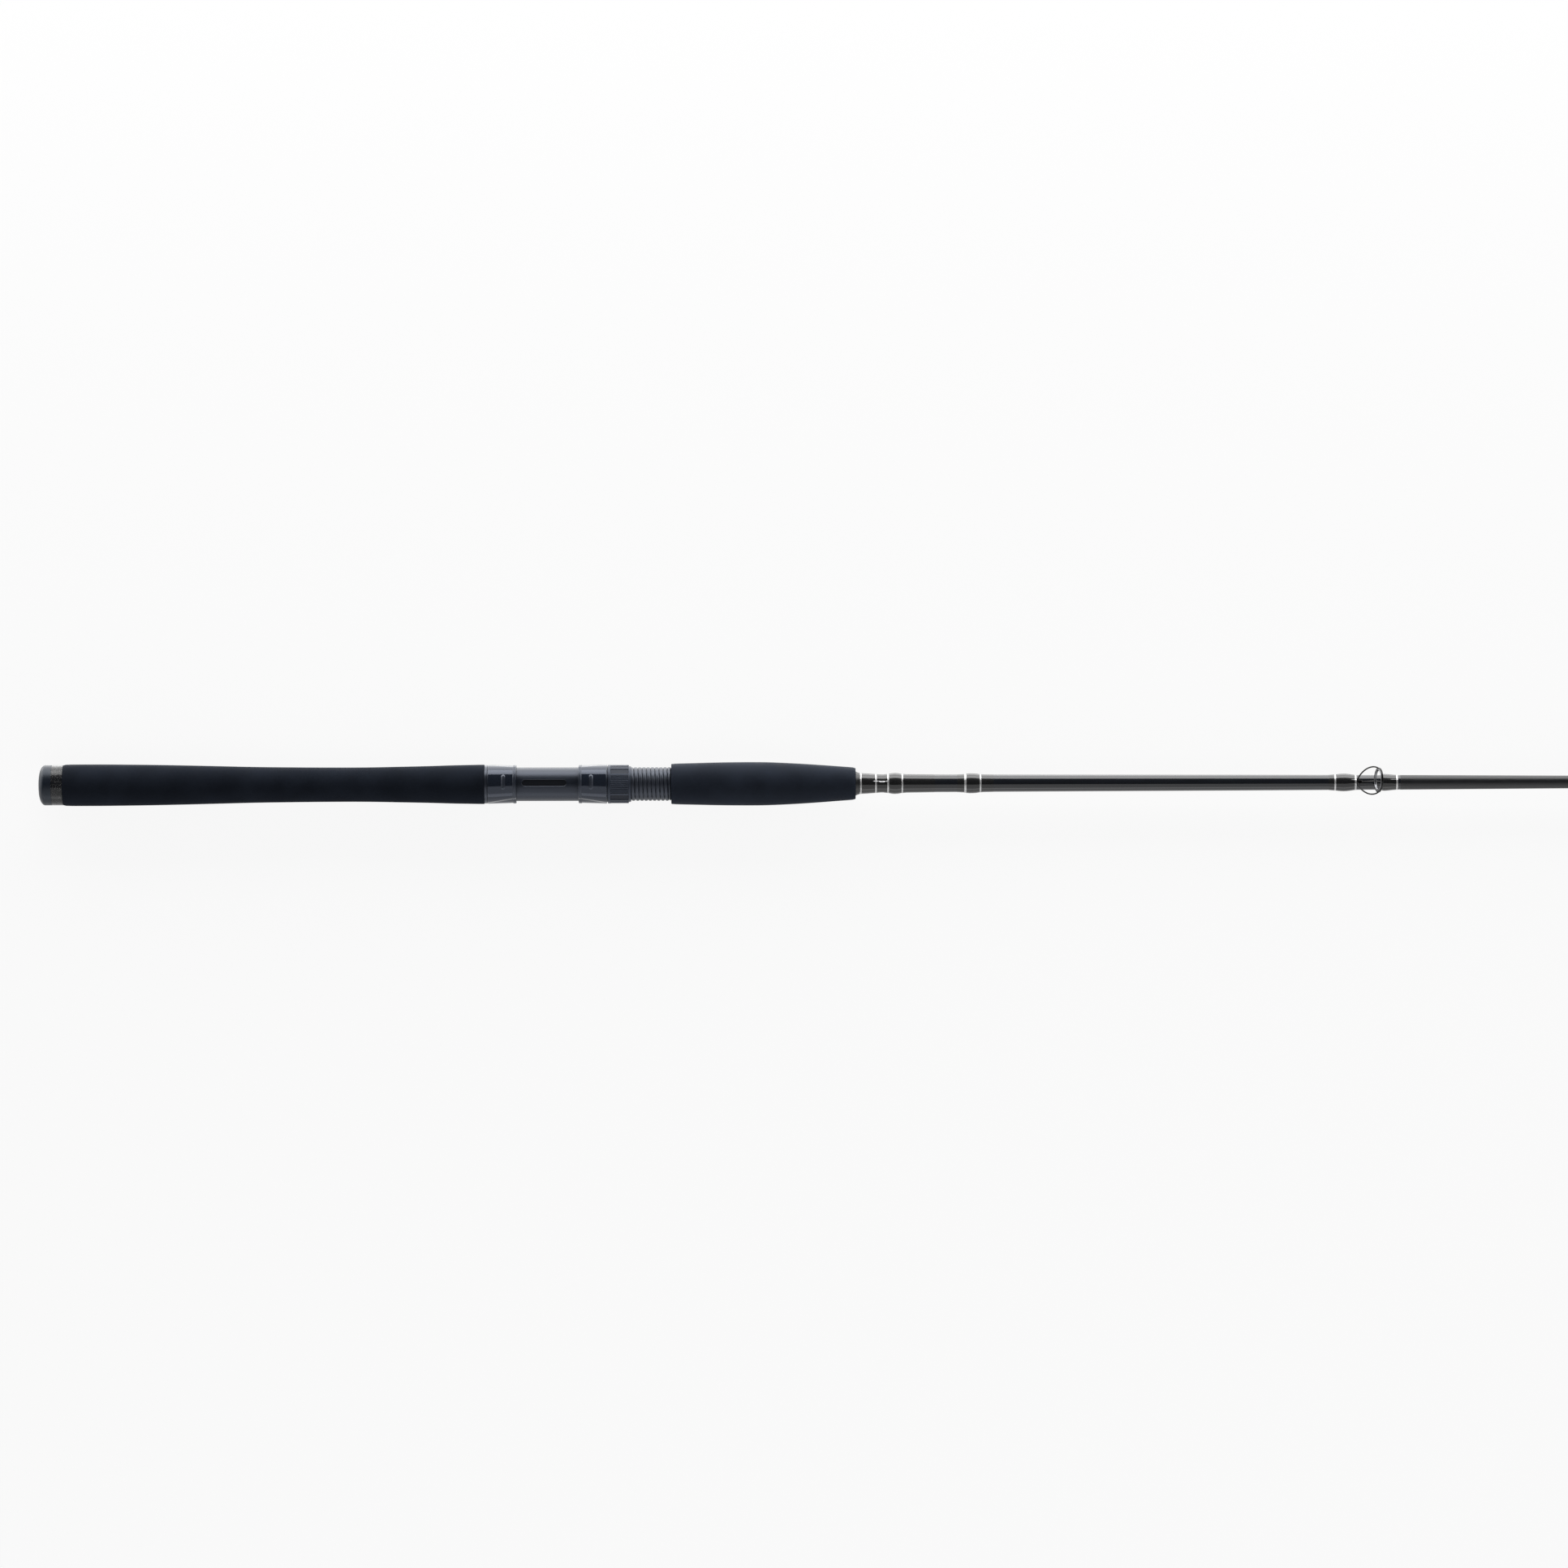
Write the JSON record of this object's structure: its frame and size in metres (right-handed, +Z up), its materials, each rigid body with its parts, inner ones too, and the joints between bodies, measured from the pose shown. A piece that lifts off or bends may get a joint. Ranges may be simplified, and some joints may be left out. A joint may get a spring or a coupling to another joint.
{
  "type": "casting fishing rod",
  "caption": "One-piece casting rod: foam grips, pipe reel seat with a screw-driven hood, slim tapered blank with thread-wound ring guides and a tip guide.",
  "frame": {"origin": "centre of the butt cap's flat end face", "axes": "+X along the rod from butt to tip, +Z up through the reel seat and the line guides, +Y to the left when looking towards the tip"},
  "size_m": [2.134, 0.031, 0.0441],
  "materials": {
    "rubber_cap": "satin",
    "butt_gloss": "glossy with fine light speckles",
    "eva": "matte closed-cell foam",
    "trim_grey": "satin anodised",
    "seat_grey": "satin",
    "hood_grey": "polished dark grey",
    "pocket_black": "matte",
    "arbor": "foamed",
    "check": "satin",
    "blank": "gloss clear coat over black as far as the first guide, satin black beyond it",
    "wrap": "black thread under clear gloss epoxy",
    "silver_thread": "metallic thread under clear gloss",
    "keeper_wire": "polished",
    "guide_black": "gloss black coated steel",
    "ring": "polished ring"
  },
  "bodies": {
    "rod": {"butt_cap": "rubber_cap", "butt_band": "butt_gloss", "rear_grip": "eva", "rear_trim_ring": "trim_grey", "seat_barrel": "seat_grey", "fixed_hood": "hood_grey", "fixed_hood_liner": "pocket_black", "rear_arbor": "arbor", "front_arbor": "arbor", "fore_grip": "eva", "winding_check": "check", "blank": "blank", "butt_wrap": "wrap", "hook_keeper": "keeper_wire", "keeper_wrap": "wrap", "accent_wrap": "wrap", "silver_bands": "silver_thread", "tip_frame": "guide_black", "tip_ring": "ring", "tip_wrap": "wrap", "tip_bands": "silver_thread", "guide_1_frame": "guide_black", "guide_1_ring": "ring", "guide_1_wraps": "wrap", "guide_1_bands": "silver_thread", "guide_2_frame": "guide_black", "guide_2_ring": "ring", "guide_2_wraps": "wrap", "guide_2_bands": "silver_thread", "guide_3_frame": "guide_black", "guide_3_ring": "ring", "guide_3_wraps": "wrap", "guide_3_bands": "silver_thread", "guide_4_frame": "guide_black", "guide_4_ring": "ring", "guide_4_wraps": "wrap", "guide_4_bands": "silver_thread", "guide_5_frame": "guide_black", "guide_5_ring": "ring", "guide_5_wraps": "wrap", "guide_5_bands": "silver_thread", "guide_6_frame": "guide_black", "guide_6_ring": "ring", "guide_6_wraps": "wrap", "guide_6_bands": "silver_thread", "guide_7_frame": "guide_black", "guide_7_ring": "ring", "guide_7_wraps": "wrap", "guide_7_bands": "silver_thread", "guide_8_frame": "guide_black", "guide_8_ring": "ring", "guide_8_wraps": "wrap", "guide_8_bands": "silver_thread"},
    "hood": {"moving_hood": "hood_grey", "moving_hood_liner": "pocket_black"},
    "nut": {"lock_nut": "hood_grey"}
  },
  "joints": [
    {"name": "hood_slide", "type": "slide", "parent": "rod", "child": "hood", "axis": [1, 0, 0], "range_m": [-0.012, 0.027]},
    {"name": "nut_spin", "type": "hinge", "parent": "hood", "child": "nut", "pos_m": [0.4148, 0, 0], "axis": [1, 0, 0], "range_deg": [-1440, 3240]}
  ],
  "couplings": [
    {"joint": "hood_slide", "follows": "nut_spin", "m_per_rad": 0.00047746}
  ]
}
